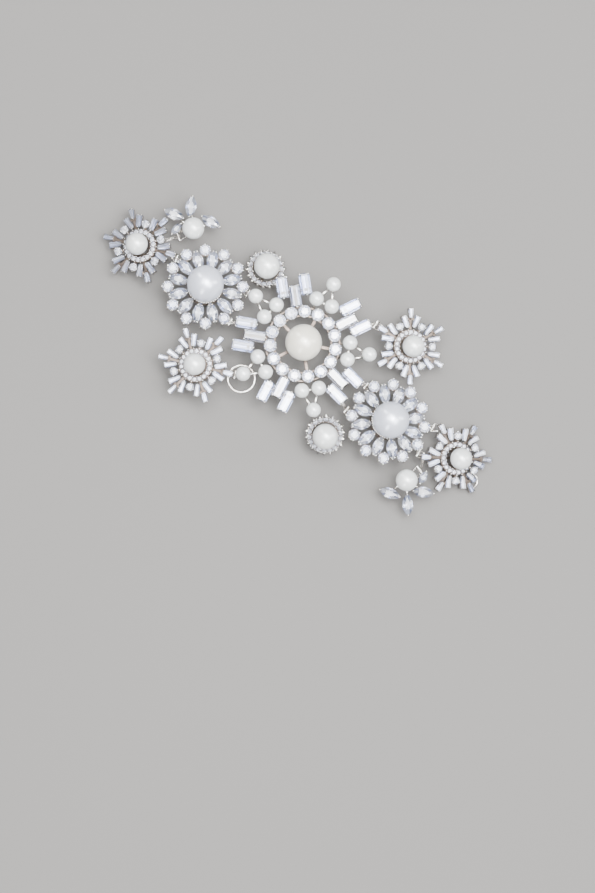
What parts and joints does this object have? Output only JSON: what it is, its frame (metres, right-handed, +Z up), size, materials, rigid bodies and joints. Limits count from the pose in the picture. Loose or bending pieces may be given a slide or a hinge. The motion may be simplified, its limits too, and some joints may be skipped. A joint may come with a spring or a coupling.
{
  "type": "jewelled hairpiece",
  "caption": "Jewelled bridal hairpiece: pearl and crystal flower motifs in prong settings, wire-tied edge to edge, with wire loops for hairpins.",
  "frame": {"origin": "centre of the bounding box in X and Y, on the plane that the piece rests on when it lies face up", "axes": "+X along the row of motifs, towards the blossom-and-snowflake end on the right; +Z up, out of the jewelled face; +Y across"},
  "size_m": [0.125, 0.0581, 0.0193],
  "materials": {
    "rhodium": "polished rhodium plate",
    "wire": "soft drawn silver-coloured wire",
    "crystal": "clear faceted stone",
    "cream_pearl": "cream nacre",
    "silver_pearl": "silvery nacre",
    "white_pearl": "white nacre"
  },
  "bodies": {
    "medallion": {"baguette_settings": "rhodium", "baguette_stones": "crystal", "centre_cup": "rhodium", "centre_pearl": "cream_pearl", "medallion_ring": "rhodium", "medallion_ties": "wire", "ring_stones": "crystal", "trio_loop": "wire", "trio_mounts": "rhodium", "trio_pearls": "white_pearl"},
    "left_blossom": {"left_blossom_frame": "rhodium", "left_blossom_leaves": "crystal", "left_blossom_pearl": "white_pearl"},
    "left_daisy": {"left_daisy_cup": "rhodium", "left_daisy_frame": "rhodium", "left_daisy_marquises": "crystal", "left_daisy_pearl": "silver_pearl", "left_daisy_rounds": "crystal", "left_daisy_ties": "wire"},
    "left_end_snowflake": {"left_end_loop": "wire", "left_end_snowflake_baguettes": "crystal", "left_end_snowflake_frame": "rhodium", "left_end_snowflake_pave": "crystal", "left_end_snowflake_pearl": "white_pearl", "left_end_snowflake_rounds": "crystal", "left_end_ties": "wire"},
    "left_halo": {"left_halo_frame": "rhodium", "left_halo_pearl": "white_pearl", "left_halo_stones": "crystal"},
    "left_side_snowflake": {"left_side_snowflake_baguettes": "crystal", "left_side_snowflake_frame": "rhodium", "left_side_snowflake_pave": "crystal", "left_side_snowflake_pearl": "white_pearl", "left_side_snowflake_rounds": "crystal"},
    "right_blossom": {"right_blossom_frame": "rhodium", "right_blossom_leaves": "crystal", "right_blossom_pearl": "white_pearl"},
    "right_daisy": {"right_daisy_cup": "rhodium", "right_daisy_frame": "rhodium", "right_daisy_marquises": "crystal", "right_daisy_pearl": "silver_pearl", "right_daisy_rounds": "crystal", "right_daisy_ties": "wire"},
    "right_end_snowflake": {"right_end_loop": "wire", "right_end_snowflake_baguettes": "crystal", "right_end_snowflake_frame": "rhodium", "right_end_snowflake_pave": "crystal", "right_end_snowflake_pearl": "white_pearl", "right_end_snowflake_rounds": "crystal", "right_end_ties": "wire"},
    "right_halo": {"right_halo_frame": "rhodium", "right_halo_pearl": "white_pearl", "right_halo_stones": "crystal"},
    "right_side_snowflake": {"right_side_snowflake_baguettes": "crystal", "right_side_snowflake_frame": "rhodium", "right_side_snowflake_pave": "crystal", "right_side_snowflake_pearl": "white_pearl", "right_side_snowflake_rounds": "crystal"}
  },
  "joints": [
    {"name": "left_daisy_tie", "type": "hinge", "parent": "medallion", "child": "left_daisy", "pos_m": [-0.01997, 0.00158, 0.00783], "axis": [0.0483, -0.9981, 0.0382], "range_deg": [-3, 10]},
    {"name": "right_daisy_tie", "type": "hinge", "parent": "medallion", "child": "right_daisy", "pos_m": [0.0206, -0.00087, 0.0077], "axis": [0.0924, 0.9931, -0.0722], "range_deg": [-3, 10]},
    {"name": "left_halo_tie", "type": "hinge", "parent": "medallion", "child": "left_halo", "pos_m": [-0.01388, 0.01507, 0.00694], "axis": [0.1057, -0.9944, 0], "range_deg": [-3, 10]},
    {"name": "right_halo_tie", "type": "hinge", "parent": "medallion", "child": "right_halo", "pos_m": [0.01375, -0.01112, 0.00796], "axis": [0.4863, 0.8738, 0], "range_deg": [-3, 10]},
    {"name": "left_side_snowflake_tie", "type": "hinge", "parent": "medallion", "child": "left_side_snowflake", "pos_m": [-0.0105, -0.01437, 0.00811], "axis": [0.3596, -0.9331, 0], "range_deg": [-3, 10]},
    {"name": "right_side_snowflake_tie", "type": "hinge", "parent": "medallion", "child": "right_side_snowflake", "pos_m": [0.01375, 0.01883, 0.00811], "axis": [-0.0315, 0.9995, 0], "range_deg": [-3, 10]},
    {"name": "left_end_snowflake_tie", "type": "hinge", "parent": "left_daisy", "child": "left_end_snowflake", "pos_m": [-0.0418, 0.00313, 0.00694], "axis": [0.2381, -0.9713, 0], "range_deg": [-3, 10]},
    {"name": "right_end_snowflake_tie", "type": "hinge", "parent": "right_daisy", "child": "right_end_snowflake", "pos_m": [0.04305, 0.00038, 0.00572], "axis": [-0.0737, 0.9945, -0.0747], "range_deg": [-3, 10]},
    {"name": "left_blossom_tie", "type": "hinge", "parent": "left_end_snowflake", "child": "left_blossom", "pos_m": [-0.04495, 0.00873, 0.00559], "axis": [-0.8078, 0.5895, 0], "range_deg": [-3, 10]},
    {"name": "right_blossom_tie", "type": "hinge", "parent": "right_end_snowflake", "child": "right_blossom", "pos_m": [0.04615, -0.00737, 0.00553], "axis": [0.9359, -0.3523, 0], "range_deg": [-3, 10]}
  ]
}
